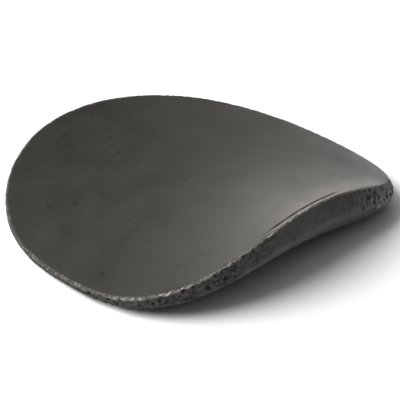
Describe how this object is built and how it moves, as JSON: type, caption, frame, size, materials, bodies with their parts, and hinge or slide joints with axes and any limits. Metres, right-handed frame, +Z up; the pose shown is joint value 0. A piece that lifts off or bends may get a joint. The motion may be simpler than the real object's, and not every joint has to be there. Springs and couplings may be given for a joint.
{
  "type": "massage stone",
  "caption": "Contoured massage stone: an egg-shaped slab with a honed saddle-shaped upper face, a rough broken rim and a smooth rounded belly that it rests on.",
  "frame": {"origin": "middle of the stone's box, on the plane of the flat it rests on", "axes": "+X from the broad heel end to the narrow toe end, +Z up from the belly to the honed face, +Y away from the side with the high crest"},
  "size_m": [0.1602, 0.1214, 0.0352],
  "materials": {
    "basalt": "honed upper face and belly, rough broken rim"
  },
  "bodies": {
    "root": {"massage_stone": "basalt"}
  },
  "joints": []
}
